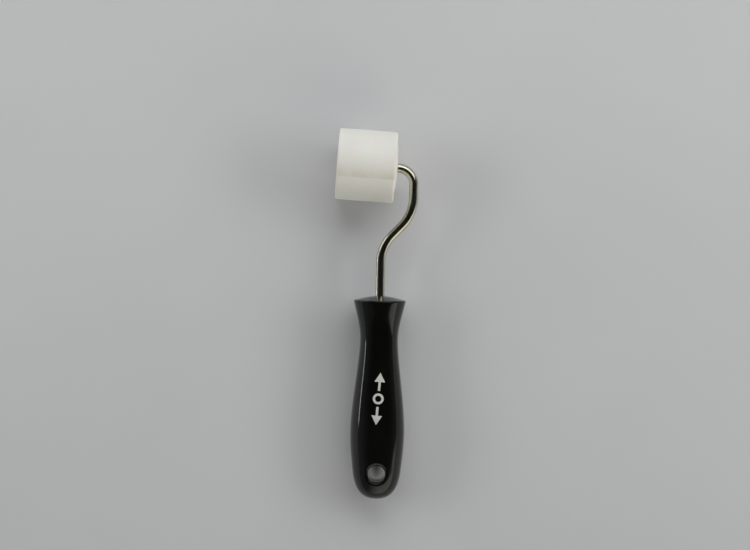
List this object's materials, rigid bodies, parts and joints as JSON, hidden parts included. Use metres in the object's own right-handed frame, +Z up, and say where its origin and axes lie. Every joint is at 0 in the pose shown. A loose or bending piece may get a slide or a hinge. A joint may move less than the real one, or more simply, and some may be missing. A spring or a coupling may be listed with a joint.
{
  "type": "seam roller",
  "caption": "Hand tool with a free-turning white roller on the open end of a bent plated rod, set in a waisted black handle with a hanging hole.",
  "frame": {"origin": "under the middle of the tool's footprint, on the surface that it lies on", "axes": "+Y along the handle towards the roller, +Z up off the surface, +X to the side that the rod bends round"},
  "size_m": [0.045, 0.2002, 0.0385],
  "materials": {
    "handle_plastic": "glossy black moulding",
    "roller_plastic": "satin off-white moulding",
    "plated_steel": "bright nickel plate on drawn wire",
    "spring_steel": "plain pressed sheet"
  },
  "bodies": {
    "frame": {"handle": "handle_plastic", "bent_rod": "plated_steel", "axle_washer": "spring_steel", "push_nut": "spring_steel"},
    "roller": {"roller_barrel": "roller_plastic", "roller_inner_cap": "roller_plastic", "roller_outer_cap": "roller_plastic"}
  },
  "joints": [
    {"name": "roller_spin", "type": "hinge", "parent": "frame", "child": "roller", "pos_m": [-0.0057, 0.08007, 0.01924], "axis": [0.9984, -0.0567, 0], "continuous": true}
  ]
}
